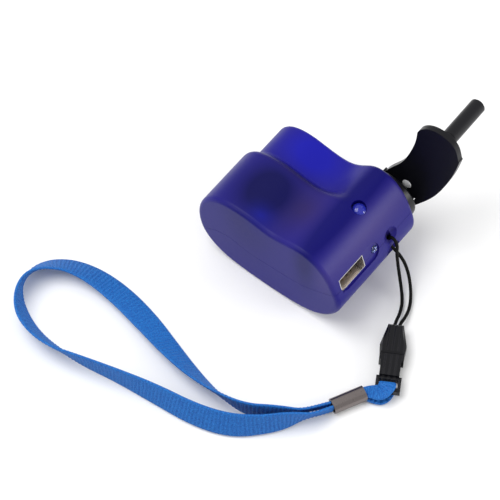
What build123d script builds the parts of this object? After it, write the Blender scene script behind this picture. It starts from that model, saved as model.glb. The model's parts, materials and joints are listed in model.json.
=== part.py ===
from build123d import *
import os
from math import cos, hypot, pi, radians, sin, tan

# Pocket hand crank charger: a two-shell case with a generator, a gear train and a USB socket
# inside, a folding crank on its far end, and a wrist strap on a thin lanyard cord.
# Millimetres. +X runs along the case towards its nose, +Y towards the crank, +Z up.
# The origin is the middle of the flat patch that the case rests on.

# ---- case ----
CASE_NEAR_Y = -22.0
CASE_FAR_Y = 22.5
WALL = 1.8
EDGE_ROUND = 1.6
EDGE_STEPS = 4
RECESS_START_Y = 2.0
RECESS_END_Y = 8.0
RECESS_STEPS = 8
SEAM_GAP = 0.12
BASE_Z = 0.0
# further than any side of the case, for cuts that go right through
REACH = 60.0
# outline of the near end face, and of the lowered far part where the folded knob nests
NEAR_OUTLINE = [
    (-31, 18.5), (-29.2, 27.4), (-24.8, 33.6), (-14.9, 37.0), (-6, 36.7), (1.2, 35.9),
    (7, 37.2), (13.9, 38.4), (19.5, 37.3), (25, 33.0), (29.2, 25.5), (31.1, 17),
    (28.2, 9.6), (21.1, 3.2), (9, 0.1), (-8.5, -0.3), (-22.5, 2.7), (-29.2, 9.6),
]
FAR_OUTLINE = [
    (-28.2, 17.5), (-26.9, 24.2), (-23.3, 28.1), (-15.4, 30.3), (-6, 29.2), (2.5, 29.6),
    (8.0, 33.4), (13.6, 37.6), (19.5, 37.3), (25, 33.0), (29.2, 25.5), (31.1, 17),
    (28.2, 9.6), (21.1, 3.2), (9, 0.1), (-8.5, -0.3), (-21.5, 2.7), (-27.2, 9.6),
]
# wavy line where the two shells meet, the same from end to end
SEAM_LINE = [
    (-36, 5.5), (-29.4, 10), (-18.1, 15.6), (-9, 14.6),
    (3.7, 15.2), (15, 16.8), (27.7, 23.2), (36, 27.5),
]

# ---- case screws ----
BOSS_R = 2.6
BOSS_SPOTS = [(-20.0, -17.3), (1.0, -16.9), (-19.4, 13.6)]
BOSS_SPLIT_Z = 16.0
CASE_SCREW_R = 1.0
CASE_SCREW_HEAD_R = 1.9
CASE_SCREW_HEAD_H = 1.5
CASE_SCREW_SEAT_Z = 3.3
CASE_SCREW_TIP_Z = 22.0
SCREW_CLEARANCE = 0.1
THREAD_CLEARANCE = 0.02

# ---- gear train, every axis along Y ----
MODULE = 0.5
CRANK_TEETH = 40
WHEEL_TEETH = 36
STAGE_PINION_TEETH = 12
GEN_PINION_TEETH = 10
CRANK_X = 18.0
CRANK_Z = 20.4
STAGE_ONE_BEARING = 197.5
STAGE_TWO_BEARING = 178.0
GENERATOR_BEARING = 181.0
ADDENDUM = 0.8 * MODULE
DEDENDUM = 1.15 * MODULE
ROOT_SHARE = 0.31
TIP_SHARE = 0.115
FACE_WIDTH = 2.0
CRANK_GEAR_WIDTH = 2.4
GEN_PINION_Y = 6.4
STAGE_TWO_Y = 7.0
STAGE_ONE_Y = 10.0
CRANK_GEAR_Y = 13.6
AXLE_R = 1.0
RUN_CLEARANCE = 0.06
RUN_END = 0.2

# ---- gear plates ----
PLATE = 1.5
INNER_PLATE_Y = 4.0
OUTER_PLATE_Y = 17.0
PLATE_FIT = 0.5
PLATE_REST_Z = 4.2
PLATE_TOP_Z = 31.0
PLATE_MAX_X = 26.0
REST_X = (-10.0, 8.0)
POST_R = 1.4
POST_SPIGOT_R = 0.9
POST_SPOTS = [(-24.4, 17.6), (-0.5, 6.4), (23.4, 9.3)]
PLATE_SCREW_R = 0.7
PLATE_SCREW_HEAD_R = 1.3
PLATE_SCREW_HEAD_H = 0.9
PLATE_SCREW_DEPTH = 4.0

# ---- generator ----
CAN_R = 9.7
CAN_LENGTH = 14.5
CAN_WALL = 0.8
BELL_R = 9.3
BELL_H = 2.5
MAGNET_T = 2.0
MAGNET_ARC = 130.0
ROTOR_R = 6.4
ROTOR_LENGTH = 10.0
ROTOR_POLES = 3
ROTOR_SLOT = 1.6
GEN_SHAFT_R = 1.0
TERMINAL_SPREAD = 4.0
TERMINAL_OFFSET = 3.0
TERMINAL_SIZE = (0.6, 2.0, 1.6)

# ---- socket, lamps and board, in the tilted frame of the socket ----
PORT_X = 29.7
PORT_Y = -11.4
PORT_Z = 25.6
PORT_TILT = 17.0
SOCKET_W = 13.2
SOCKET_H = 5.8
SOCKET_LENGTH = 14.0
SOCKET_T = 0.3
SOCKET_RECESS = 1.0
TONGUE = (8.6, 11.6, 1.9)
TONGUE_LIFT = 0.9
TONGUE_BASE = 2.5
CONTACT = (7.0, 1.0, 0.2)
CONTACT_PITCH = 2.3
SLOT_LENGTH = 21.6
SLOT_HEIGHT = 7.6
SLOT_DEPTH = 1.0
FIT_GAP = 0.1
BOARD_T = 1.2
BOARD_START = 2.6
BOARD_LENGTH = 20.0
BOARD_POSTS = [(19.0, -13.0), (9.0, -2.0)]
BOARD_POST_R = 1.6
BOARD_Y = (-18.8, 2.6)
PORT_LAMP_Y = 1.0
PORT_LAMP_R = 1.5
PORT_LAMP_LENGTH = 5.0
TOP_LAMP_X = 18.7
TOP_LAMP_Y = 5.0
TOP_LAMP_R = 2.6
TOP_LAMP_TOP_Z = 37.5
TOP_LAMP_LENGTH = 6.0
LAMP_RIM = 0.5
LAMP_RIM_H = 1.0
CAPACITOR_R = 2.5
CAPACITOR_H = 7.0
CAPACITOR_SPOT = (19.0, -8.0)
CHIP = (5.0, 4.0, 1.5)
CHIP_SPOT = (11.5, -1.4)
WIRE_R = 0.45
WIRE_Y = -12.9
WIRE_SPREAD = 1.2
WIRE_SAG = 2.4

# ---- lanyard bar: two pockets joined behind a bar in the nose side of the case ----
BAR_Y = 9.5
SCOOP_X = 31.8
SCOOP_R = 4.0
SCOOP_Z = 25.2
LOWER_SCOOP_R = 3.6
LOWER_SCOOP_Z = 16.4
TUNNEL_X = 28.7
TUNNEL_R = 1.2
BAR_BLOCK = (8.0, 7.2, 19.0)
BAR_BLOCK_X = 28.2
BAR_BLOCK_Z = 20.8

# ---- crank ----
SHAFT_R = 2.0
SHAFT_FLAT = 1.5
BUSH_WALL = 1.4
BUSH_FLANGE_R = 5.0
BUSH_FLANGE_T = 0.8
HUB_R = 10.6
HUB_GAP = 0.4
HUB_T = 3.2
HUB_ROUND = 1.0
HUB_WEB = 0.6
HINGE_GAP = 2.9
EAR_R = 2.3
EAR_T = 3.0
KNUCKLE_W = 8.0
HUB_SCREW_R = 0.8
HUB_SCREW_LENGTH = 5.0
HUB_SCREW_HEAD_R = 1.9
HUB_SCREW_HEAD_H = 1.2
HINGE_SIDE_GAP = 0.3
HINGE_PIN_R = 0.8
CRANK_ANGLE = 70.0
ARM_TILT = 10.0
ARM_T = 2.4
# kidney outline of the arm: along the arm from the hinge, and across it
ARM_OUTLINE_LEFT = [(3.2, -6.6), (7.1, -6.0), (13.1, -4.7), (20.6, -4.9), (27.3, -6.1), (31.4, -7.6)]
ARM_OUTLINE_END = [(35.2, -7.4), (39.2, -3.4), (40.2, 1.6), (38.6, 6.4), (35.6, 9.2)]
ARM_OUTLINE_RIGHT = [(32.0, 10.4), (27.6, 11.2), (19.9, 11.9), (10.6, 11.6), (3.2, 10.0), (-1.9, 8.6)]
ARM_ROOT = [(-1.9, 7.7), (3.2, 7.7), (3.2, -6.6)]
RIVET_S = 6.3
RIVET_W = 1.9
RIVET_R = 1.1
RIVET_HEAD_R = 1.8
RIVET_HEAD_H = 0.7
LEAF_T = 1.0
LEAF_LENGTH = 9.5
KNOB_S = 32.0
KNOB_W = 1.5
KNOB_BOSS_R = 3.6
KNOB_BOSS_H = 4.2
KNOB_R = 2.9
KNOB_LENGTH = 20.0
KNOB_STUD_R = 1.2
KNOB_GAP = 0.3
KNOB_CAP = 1.6
KNOB_CHAMFER = 0.5
STUD_WEB = 0.8
STUD_HEAD_R = 1.9
STUD_HEAD_H = 0.8

# ---- lanyard cord, buckle, ferrule and strap ----
CORD_D = 1.2
CORD_ROUTE = [
    (46.7, -10.2, 2.75), (45.3, -7.2, 2.75), (44.2, -3.0, 2.0), (42.2, 1.2, 1.4), (39.4, 4.6, 2.0),
    (36.6, 7.0, 5.2), (34.4, 8.4, 10.4), (33.1, 9.0, 16.2), (33.0, 9.2, 21.2), (31.2, 9.3, 24.2),
    (28.8, 9.4, 22.6), (28.6, 9.5, 19.2), (30.6, 9.9, 16.4), (33.6, 10.6, 13.2), (36.0, 11.0, 8.6),
    (39.2, 9.4, 4.2), (42.6, 5.8, 1.6), (45.2, 1.6, 1.2), (46.6, -3.0, 2.0), (46.9, -6.6, 2.75),
    (48.0, -9.5, 2.75),
]
BUCKLE_TOP = (46.6, -8.4)
BUCKLE_END = (59.6, -31.0)
BUCKLE_Z = 2.75
CORD_SLOT = (3.5, 1.7, 2.4)
HEAD_LENGTH = 11.6
HEAD_TIP_W = 5.4
HEAD_W = 9.4
HEAD_H = 5.4
HEAD_WIDEST = 0.72
HEAD_CHAMFER = 0.8
BODY_WAIST_W = 7.0
BODY_W = 8.6
BODY_H = 4.4
BODY_LENGTH = 8.4
SHOULDER_LENGTH = 2.6
PLUG_LENGTH = 6.0
PLUG_W = 4.6
PLUG_H = 2.6
PLUG_GAP = 0.05
LOOP_LENGTH = 5.8
LOOP_W = 8.8
LOOP_H = 2.4
LOOP_BAR = 1.6
LOOP_SLOT = (3.0, 6.6)
FERRULE_RIGHT = (53.4, -35.6)
FERRULE_LEFT = (47.9, -46.6)
FERRULE_W = 5.4
FERRULE_H = 4.6
FERRULE_T = 0.5
FERRULE_ROUND = 1.84
FERRULE_Z = 2.4
STRAP_W = 10.0
STRAP_T = 1.0
STRAP_ROUTE = [
    (48.57, -47.27), (45.6, -53.6), (40.4, -61.0), (34.2, -68.4), (25.6, -75.2), (13.6, -79.4),
    (-1.8, -81.6), (-17.6, -84.6), (-30.2, -87.6), (-40.2, -89.2), (-49.4, -89.0), (-57.8, -86.4),
    (-64.2, -81.0), (-67.4, -73.8), (-65.6, -66.2), (-59.4, -60.6), (-49.6, -57.8), (-37.4, -57.8),
    (-23.8, -60.2), (-10.4, -64.0), (2.0, -67.0), (14.6, -68.4), (26.4, -67.2), (35.6, -61.6),
    (42.4, -54.2), (46.97, -46.47),
]
STRAP_TAIL_OUT = 1.0
STRAP_BRIDGE = 2.6
STRAP_Z = 5.1
STRAP_RING_W = 6.0
STRAP_RING_OUT = 4.0
STRAP_RING_GAP = 0.25


def y_plane(x, z, y_top):
    """A sketch plane across Y: its own x is +X, its own y is +Z, and extrusions run towards -Y."""
    return Plane(origin=(x, y_top, z), x_dir=(1, 0, 0), z_dir=(0, -1, 0))


def bar(sketch, x, z, y_low, y_high):
    """A prism along Y between two Y values."""
    return y_plane(x, z, y_high) * extrude(sketch, y_high - y_low)


def rod(x, z, r, y_low, y_high):
    return bar(Circle(r), x, z, y_low, y_high)


def upright(x, y, r, z_low, z_high):
    return Pos(x, y, z_low) * extrude(Circle(r), z_high - z_low)


def block(x_span, y_span, z_span):
    """A box given by its low and high limits."""
    size = [high - low for low, high in (x_span, y_span, z_span)]
    middle = [(high + low) / 2 for low, high in (x_span, y_span, z_span)]
    return Pos(*middle) * Box(*size)


# ---- case ----
def blend(t):
    t = min(max(t, 0.0), 1.0)
    return t * t * (3 - 2 * t)


def outline(y, inset):
    """Outline of the case at one Y, moved inwards by a distance."""
    share = blend((y - RECESS_START_Y) / (RECESS_END_Y - RECESS_START_Y))
    points = [
        (near[0] + share * (far[0] - near[0]), near[1] + share * (far[1] - near[1]))
        for near, far in zip(NEAR_OUTLINE, FAR_OUTLINE)
    ]
    moved = []
    for index, (x, z) in enumerate(points):
        before = points[index - 1]
        after = points[(index + 1) % len(points)]
        along_x, along_z = after[0] - before[0], after[1] - before[1]
        length = hypot(along_x, along_z)
        moved.append((x + inset * along_z / length, z - inset * along_x / length))
    return moved


def section(y, shape_y, inset):
    points = [Vector(x, y, z) for x, z in outline(shape_y, inset)]
    return Face(Wire([Edge.make_spline(points, periodic=True)]))


def rounded_stations(end_y, direction):
    """Stations that round an end's edge: each a Y and how far the outline is moved in."""
    stations = []
    for step in range(EDGE_STEPS + 1):
        turn = radians(90 * step / EDGE_STEPS)
        stations.append((end_y + direction * EDGE_ROUND * (1 - cos(turn)), EDGE_ROUND * (1 - sin(turn))))
    return stations


def recess_stations():
    span = RECESS_END_Y - RECESS_START_Y
    return [RECESS_START_Y + span * step / RECESS_STEPS for step in range(RECESS_STEPS + 1)]


def outer_form():
    near = rounded_stations(CASE_NEAR_Y, 1)
    far = rounded_stations(CASE_FAR_Y, -1)
    sections = [section(y, y, inset) for y, inset in near]
    sections += [section(y, y, 0) for y in recess_stations()]
    sections += [section(y, y, inset) for y, inset in reversed(far)]
    return loft(sections, ruled=True)


def inner_form():
    """The hollow: its step comes earlier than the outside's, so the wall keeps its thickness."""
    shift = WALL / 2
    stations = [CASE_NEAR_Y + WALL] + [y - shift for y in recess_stations()] + [CASE_FAR_Y - WALL]
    return loft([section(y, y + shift, WALL) for y in stations], ruled=True)


def below_seam(drop):
    top = [Vector(x, 0, z - drop) for x, z in SEAM_LINE]
    low_z = BASE_Z - 2 * WALL
    curve = Edge.make_spline(top)
    corners = [top[-1], Vector(top[-1].X, 0, low_z), Vector(top[0].X, 0, low_z), top[0]]
    sides = [Edge.make_line(start, end) for start, end in zip(corners, corners[1:])]
    face = Face(Wire([curve] + sides))
    return Pos(0, -2 * CASE_FAR_Y, 0) * extrude(face, 4 * CASE_FAR_Y, dir=(0, 1, 0))


def port_place(depth, y, lift):
    """A place in the socket's tilted frame: inwards from the case side, along Y, and up."""
    tilt = radians(PORT_TILT)
    return Location(
        (PORT_X - depth * cos(tilt) - lift * sin(tilt), y, PORT_Z - depth * sin(tilt) + lift * cos(tilt)),
        (0, -PORT_TILT, 0),
    )


def port_box(depth_span, y_span, lift_span):
    size = [high - low for low, high in (depth_span, y_span, lift_span)]
    middle = [(high + low) / 2 for low, high in (depth_span, y_span, lift_span)]
    return port_place(*middle) * Box(*size)


def port_bar(sketch, y, depth_span):
    """A prism that runs inwards from the case side."""
    inwards = Plane(origin=(0, 0, 0), x_dir=(0, 1, 0), z_dir=(-1, 0, 0))
    prism = inwards * extrude(sketch, depth_span[1] - depth_span[0])
    return port_place(depth_span[0], y, 0) * prism


def case_shells():
    outer = outer_form()
    walls = outer - inner_form()
    walls += outer & (Pos(BAR_BLOCK_X, BAR_Y, BAR_BLOCK_Z) * Box(*BAR_BLOCK))
    walls -= Pos(SCOOP_X, BAR_Y, SCOOP_Z) * Sphere(SCOOP_R)
    walls -= Pos(SCOOP_X, BAR_Y, LOWER_SCOOP_Z) * Sphere(LOWER_SCOOP_R)
    walls -= upright(TUNNEL_X, BAR_Y, TUNNEL_R, LOWER_SCOOP_Z, SCOOP_Z)
    walls -= case_openings()
    lower = walls & below_seam(0)
    upper = walls - below_seam(-SEAM_GAP)
    for x, y in BOSS_SPOTS:
        lower += outer & upright(x, y, BOSS_R, -WALL, BOSS_SPLIT_Z)
        upper += outer & upright(x, y, BOSS_R, BOSS_SPLIT_Z, REACH)
        lower -= upright(x, y, CASE_SCREW_R + SCREW_CLEARANCE, -WALL, BOSS_SPLIT_Z)
        lower -= upright(x, y, CASE_SCREW_HEAD_R + SCREW_CLEARANCE, -WALL, CASE_SCREW_SEAT_Z)
        pilot_top = CASE_SCREW_TIP_Z + SCREW_CLEARANCE
        upper -= upright(x, y, CASE_SCREW_R + THREAD_CLEARANCE, BOSS_SPLIT_Z, pilot_top)
    for y in (INNER_PLATE_Y, OUTER_PLATE_Y):
        lower += outer & block(REST_X, (y - PLATE / 2, y + 3 * PLATE / 2), (-WALL, PLATE_REST_Z))
    for depth, y in BOARD_POSTS:
        post = port_place(depth, y, BOARD_LOW - REACH / 2) * Cylinder(BOARD_POST_R, REACH)
        lower += outer & post
    floor = block((-REACH, REACH), (-REACH, REACH), (BASE_Z, REACH))
    return upper & floor, lower & floor


def case_openings():
    """Everything that is cut through the case wall."""
    half_w = SOCKET_W / 2 + FIT_GAP
    half_h = SOCKET_H / 2 + FIT_GAP
    slot_y = (PORT_Y - SOCKET_W / 2 + PORT_LAMP_Y + PORT_LAMP_R) / 2
    bush_r = SHAFT_R + RUN_CLEARANCE + BUSH_WALL + THREAD_CLEARANCE
    cuts = port_bar(SlotOverall(SLOT_LENGTH, SLOT_HEIGHT), slot_y, (-2 * WALL, SLOT_DEPTH))
    cuts += port_box((-WALL, 3 * WALL), (PORT_Y - half_w, PORT_Y + half_w), (-half_h, half_h))
    cuts += port_bar(Circle(PORT_LAMP_R + FIT_GAP), PORT_LAMP_Y, (-WALL, 3 * WALL))
    lamp_low = TOP_LAMP_TOP_Z - 2 * WALL
    cuts += upright(TOP_LAMP_X, TOP_LAMP_Y, TOP_LAMP_R + FIT_GAP, lamp_low, REACH)
    cuts += rod(CRANK_X, CRANK_Z, bush_r, CASE_FAR_Y - 2 * WALL, CASE_FAR_Y + WALL)
    return cuts


def case_screws():
    screws = []
    for x, y in BOSS_SPOTS:
        shank = upright(x, y, CASE_SCREW_R, CASE_SCREW_SEAT_Z, CASE_SCREW_TIP_Z)
        head_z = CASE_SCREW_SEAT_Z - CASE_SCREW_HEAD_H
        head = upright(x, y, CASE_SCREW_HEAD_R, head_z, CASE_SCREW_SEAT_Z)
        slot = Pos(x, y, head_z) * Box(2 * CASE_SCREW_R, CASE_SCREW_R / 2, CASE_SCREW_HEAD_H)
        cross = Pos(x, y, head_z) * Box(CASE_SCREW_R / 2, 2 * CASE_SCREW_R, CASE_SCREW_HEAD_H)
        screws.append(shank + head - slot - cross)
    return Compound(children=screws)


# ---- gear train ----
def next_axis(axis, bearing, teeth, other_teeth):
    """The axis of a gear that meshes with one on this axis, in a direction in the XZ plane."""
    distance = MODULE * (teeth + other_teeth) / 2
    turn = radians(bearing)
    return axis[0] + distance * cos(turn), axis[1] + distance * sin(turn)


def gear(teeth, axis, tooth_bearing, y_low, width):
    """A spur gear with one tooth's middle pointing along a bearing."""
    pitch_r = MODULE * teeth / 2
    pitch = 2 * pi / teeth
    points = []
    for tooth in range(teeth):
        middle = radians(tooth_bearing) + tooth * pitch
        for r, share in (
            (pitch_r - DEDENDUM, -ROOT_SHARE), (pitch_r + ADDENDUM, -TIP_SHARE),
            (pitch_r + ADDENDUM, TIP_SHARE), (pitch_r - DEDENDUM, ROOT_SHARE),
        ):
            turn = middle + share * pitch
            points.append((r * cos(turn), r * sin(turn)))
    return bar(make_face(Polyline(*points, close=True)), axis[0], axis[1], y_low, y_low + width)


def gap_bearing(teeth, bearing):
    """The bearing of a tooth that leaves a gap facing back along a bearing."""
    return bearing + 180 + 180 / teeth


def stage(axis, wheel_bearing, wheel_y, pinion_bearing, pinion_end, axle_r):
    """A wheel and a pinion moulded as one, running on a fixed pin."""
    wheel = gear(WHEEL_TEETH, axis, wheel_bearing, wheel_y, FACE_WIDTH)
    pinion_y = wheel_y + FACE_WIDTH
    pinion = gear(STAGE_PINION_TEETH, axis, pinion_bearing, pinion_y, pinion_end - pinion_y)
    return wheel + pinion - rod(*axis, axle_r + RUN_CLEARANCE, wheel_y, pinion_end)


def flat_shaft(y_low, y_high, clearance):
    """The crank shaft's D section."""
    r = SHAFT_R + clearance
    flat = SHAFT_FLAT + clearance
    cut = Pos(0, flat + r) * Rectangle(4 * r, 2 * r)
    turned = Rot(0, 0, CRANK_ANGLE) * (Circle(r) - cut)
    return bar(turned, CRANK_X, CRANK_Z, y_low, y_high)


def crank_shaft():
    shaft = rod(CRANK_X, CRANK_Z, SHAFT_R, INNER_PLATE_Y, CRANK_GEAR_Y)
    shaft += flat_shaft(CRANK_GEAR_Y, CRANK_GEAR_Y + CRANK_GEAR_WIDTH, 0)
    shaft += rod(CRANK_X, CRANK_Z, SHAFT_R, CRANK_GEAR_Y + CRANK_GEAR_WIDTH, HUB_Y)
    shaft += flat_shaft(HUB_Y, HUB_SEAT_Y, 0)
    pilot_r = HUB_SCREW_R + THREAD_CLEARANCE
    return shaft - rod(CRANK_X, CRANK_Z, pilot_r, HUB_SEAT_Y - HUB_SCREW_LENGTH, HUB_SEAT_Y)


def crank_gear():
    wheel = gear(CRANK_TEETH, CRANK_AXIS, STAGE_ONE_BEARING, CRANK_GEAR_Y, CRANK_GEAR_WIDTH)
    return wheel - flat_shaft(CRANK_GEAR_Y, CRANK_GEAR_Y + CRANK_GEAR_WIDTH, THREAD_CLEARANCE)


def stage_one_gear():
    pinion_bearing = gap_bearing(STAGE_PINION_TEETH, STAGE_ONE_BEARING)
    return stage(STAGE_ONE, STAGE_TWO_BEARING, STAGE_ONE_Y, pinion_bearing, OUTER_PLATE_Y - RUN_END, AXLE_R)


def stage_two_gear():
    pinion_bearing = gap_bearing(STAGE_PINION_TEETH, STAGE_TWO_BEARING)
    end = STAGE_ONE_Y + FACE_WIDTH + RUN_END
    return stage(STAGE_TWO, GENERATOR_BEARING, STAGE_TWO_Y, pinion_bearing, end, AXLE_R)


def gear_pins():
    """The two fixed pins that the stage gears run on."""
    far = OUTER_PLATE_Y + PLATE
    return Compound(children=[rod(*axis, AXLE_R, INNER_PLATE_Y, far) for axis in (STAGE_ONE, STAGE_TWO)])


# ---- gear plates ----
def gear_plate(y, post_hole_r, holes):
    shape_y = RECESS_END_Y
    face = section(y, shape_y, WALL + PLATE_FIT)
    plate = extrude(face, PLATE, dir=(0, 1, 0))
    plate &= block((-REACH, PLATE_MAX_X), (y, y + PLATE), (PLATE_REST_Z, PLATE_TOP_Z))
    plate -= rod(CRANK_X, CRANK_Z, SHAFT_R + RUN_CLEARANCE, y, y + PLATE)
    for axis in (STAGE_ONE, STAGE_TWO):
        plate -= rod(*axis, AXLE_R + THREAD_CLEARANCE, y, y + PLATE)
    for x, z in POST_SPOTS:
        plate -= rod(x, z, post_hole_r, y, y + PLATE)
    for axis, r in holes:
        plate -= rod(*axis, r, y, y + PLATE)
    return plate


def inner_gear_plate():
    return gear_plate(INNER_PLATE_Y, POST_SPIGOT_R + THREAD_CLEARANCE, [(GENERATOR, GEN_PINION_CLEAR_R)])


def outer_gear_plate():
    return gear_plate(OUTER_PLATE_Y, PLATE_SCREW_R + SCREW_CLEARANCE, [])


def plate_posts():
    low, high = INNER_PLATE_Y + PLATE, OUTER_PLATE_Y
    posts = []
    for x, z in POST_SPOTS:
        post = rod(x, z, POST_R, low, high) + rod(x, z, POST_SPIGOT_R, INNER_PLATE_Y, low)
        posts.append(post - rod(x, z, PLATE_SCREW_R + THREAD_CLEARANCE, high - PLATE_SCREW_DEPTH, high))
    return Compound(children=posts)


def plate_screws():
    screws = []
    seat = OUTER_PLATE_Y + PLATE
    tip = OUTER_PLATE_Y - PLATE_SCREW_DEPTH + SCREW_CLEARANCE
    for x, z in POST_SPOTS:
        head = rod(x, z, PLATE_SCREW_HEAD_R, seat, seat + PLATE_SCREW_HEAD_H)
        screws.append(head + rod(x, z, PLATE_SCREW_R, tip, seat))
    return Compound(children=screws)


def shaft_bush():
    """The crank shaft's bearing in the far wall, with its flange inside the case."""
    r = SHAFT_R + RUN_CLEARANCE
    inner_wall = CASE_FAR_Y - WALL
    sleeve = rod(CRANK_X, CRANK_Z, r + BUSH_WALL, inner_wall, CASE_FAR_Y)
    flange = rod(CRANK_X, CRANK_Z, BUSH_FLANGE_R, inner_wall - BUSH_FLANGE_T, inner_wall)
    return sleeve + flange - rod(CRANK_X, CRANK_Z, r, inner_wall - BUSH_FLANGE_T, CASE_FAR_Y)


# ---- generator ----
def generator_can():
    can = rod(*GENERATOR, CAN_R, CAN_NEAR_Y, INNER_PLATE_Y)
    can -= rod(*GENERATOR, CAN_R - CAN_WALL, CAN_NEAR_Y, INNER_PLATE_Y - CAN_WALL)
    return can - rod(*GENERATOR, GEN_SHAFT_R + RUN_CLEARANCE, CAN_NEAR_Y, INNER_PLATE_Y)


def generator_end_bell():
    bell = rod(*GENERATOR, BELL_R, CAN_NEAR_Y - BELL_H, CAN_NEAR_Y)
    return bell - rod(*GENERATOR, GEN_SHAFT_R + RUN_CLEARANCE, CAN_NEAR_Y - BELL_H / 2, CAN_NEAR_Y)


def generator_magnets():
    """Two curved magnets against the inside of the can."""
    r = CAN_R - CAN_WALL
    ring = rod(*GENERATOR, r, ROTOR_Y, ROTOR_Y + ROTOR_LENGTH)
    ring -= rod(*GENERATOR, r - MAGNET_T, ROTOR_Y, ROTOR_Y + ROTOR_LENGTH)
    half_gap = r * sin(radians(90 - MAGNET_ARC / 2))
    x, z = GENERATOR
    y_span = (ROTOR_Y, ROTOR_Y + ROTOR_LENGTH)
    upper = ring & block((x - r, x + r), y_span, (z + half_gap, z + r))
    lower = ring & block((x - r, x + r), y_span, (z - r, z - half_gap))
    return Compound(children=[upper, lower])


def generator_rotor():
    """A slotted iron core with as many poles as slots."""
    core = rod(*GENERATOR, ROTOR_R, ROTOR_Y, ROTOR_Y + ROTOR_LENGTH)
    core -= rod(*GENERATOR, GEN_SHAFT_R + THREAD_CLEARANCE, ROTOR_Y, ROTOR_Y + ROTOR_LENGTH)
    slot = Pos(ROTOR_R, 0) * Rectangle(ROTOR_R, ROTOR_SLOT)
    for pole in range(ROTOR_POLES):
        turned = Rot(0, 0, 360 * pole / ROTOR_POLES) * slot
        core -= bar(turned, *GENERATOR, ROTOR_Y, ROTOR_Y + ROTOR_LENGTH)
    return core


def generator_shaft():
    low = CAN_NEAR_Y - BELL_H / 2 + SCREW_CLEARANCE
    return rod(*GENERATOR, GEN_SHAFT_R, low, GEN_PINION_Y + GEN_PINION_WIDTH)


def generator_pinion():
    bearing = gap_bearing(GEN_PINION_TEETH, GENERATOR_BEARING)
    pinion = gear(GEN_PINION_TEETH, GENERATOR, bearing, GEN_PINION_Y, GEN_PINION_WIDTH)
    bore_r = GEN_SHAFT_R + THREAD_CLEARANCE
    return pinion - rod(*GENERATOR, bore_r, GEN_PINION_Y, GEN_PINION_Y + GEN_PINION_WIDTH)


def generator_terminals():
    x, z = GENERATOR
    size_x, size_y, size_z = TERMINAL_SIZE
    high = CAN_NEAR_Y - BELL_H
    tags = []
    for side in (-1, 1):
        middle = z + side * TERMINAL_SPREAD
        x_span = (x + TERMINAL_OFFSET - size_x / 2, x + TERMINAL_OFFSET + size_x / 2)
        tags.append(block(x_span, (high - size_y, high), (middle - size_z / 2, middle + size_z / 2)))
    return Compound(children=tags)


# ---- socket, lamps and board ----
def usb_shell():
    half_w, half_h = SOCKET_W / 2, SOCKET_H / 2
    end = SOCKET_RECESS + SOCKET_LENGTH
    outside = port_box((SOCKET_RECESS, end), (PORT_Y - half_w, PORT_Y + half_w), (-half_h, half_h))
    half_w, half_h = half_w - SOCKET_T, half_h - SOCKET_T
    return outside - port_box((0, end - SOCKET_T), (PORT_Y - half_w, PORT_Y + half_w), (-half_h, half_h))


def usb_tongue():
    """The insulator: a tongue on a block that fills the back of the metal shell."""
    half_w, half_h = SOCKET_W / 2 - SOCKET_T, SOCKET_H / 2 - SOCKET_T
    length, width, height = TONGUE
    back = SOCKET_RECESS + SOCKET_LENGTH - SOCKET_T
    base = port_box((back - TONGUE_BASE, back), (PORT_Y - half_w, PORT_Y + half_w), (-half_h, half_h))
    lift_span = (TONGUE_LIFT - height / 2, TONGUE_LIFT + height / 2)
    start = back - TONGUE_BASE - length
    return base + port_box((start, back), (PORT_Y - width / 2, PORT_Y + width / 2), lift_span)


def usb_contacts():
    length, width, height = CONTACT
    end = SOCKET_RECESS + SOCKET_LENGTH - SOCKET_T - TONGUE_BASE
    low = TONGUE_LIFT - TONGUE[2] / 2
    strips = []
    for place in (-1.5, -0.5, 0.5, 1.5):
        y = PORT_Y + place * CONTACT_PITCH
        strips.append(port_box((end - length, end), (y - width / 2, y + width / 2), (low - height, low)))
    return Compound(children=strips)


def circuit_board():
    return port_box((BOARD_START, BOARD_START + BOARD_LENGTH), BOARD_Y, (BOARD_LOW, BOARD_LOW + BOARD_T))


def smoothing_capacitor():
    top = BOARD_LOW + BOARD_T
    can = Cylinder(CAPACITOR_R, CAPACITOR_H)
    return port_place(CAPACITOR_SPOT[0], CAPACITOR_SPOT[1], top + CAPACITOR_H / 2) * can


def regulator_chip():
    top = BOARD_LOW + BOARD_T
    return port_place(CHIP_SPOT[0], CHIP_SPOT[1], top + CHIP[2] / 2) * Box(*CHIP)


def port_lamp():
    """A clear lamp lying on a holder on the board, its round end at the case side."""
    body = port_bar(Circle(PORT_LAMP_R), PORT_LAMP_Y, (PORT_LAMP_R, PORT_LAMP_LENGTH))
    body += port_place(PORT_LAMP_R, PORT_LAMP_Y, 0) * Sphere(PORT_LAMP_R)
    y_span = (PORT_LAMP_Y - PORT_LAMP_R, PORT_LAMP_Y + PORT_LAMP_R)
    top = BOARD_LOW + BOARD_T
    return body + port_box((BOARD_START + FIT_GAP, PORT_LAMP_LENGTH), y_span, (top, 0))


def top_lamp():
    """A clear lamp pushed up through the nose, its rim under the shell."""
    dome_z = TOP_LAMP_TOP_Z - TOP_LAMP_R / 2
    low = TOP_LAMP_TOP_Z - TOP_LAMP_LENGTH
    body = upright(TOP_LAMP_X, TOP_LAMP_Y, TOP_LAMP_R, low, dome_z)
    dome_r = (TOP_LAMP_R ** 2 + (TOP_LAMP_R / 2) ** 2) / TOP_LAMP_R
    dome = Pos(TOP_LAMP_X, TOP_LAMP_Y, TOP_LAMP_TOP_Z - dome_r) * Sphere(dome_r)
    body += dome & upright(TOP_LAMP_X, TOP_LAMP_Y, TOP_LAMP_R, dome_z - LAMP_RIM, TOP_LAMP_TOP_Z)
    return body + upright(TOP_LAMP_X, TOP_LAMP_Y, TOP_LAMP_R + LAMP_RIM, low, low + LAMP_RIM_H)


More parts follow.
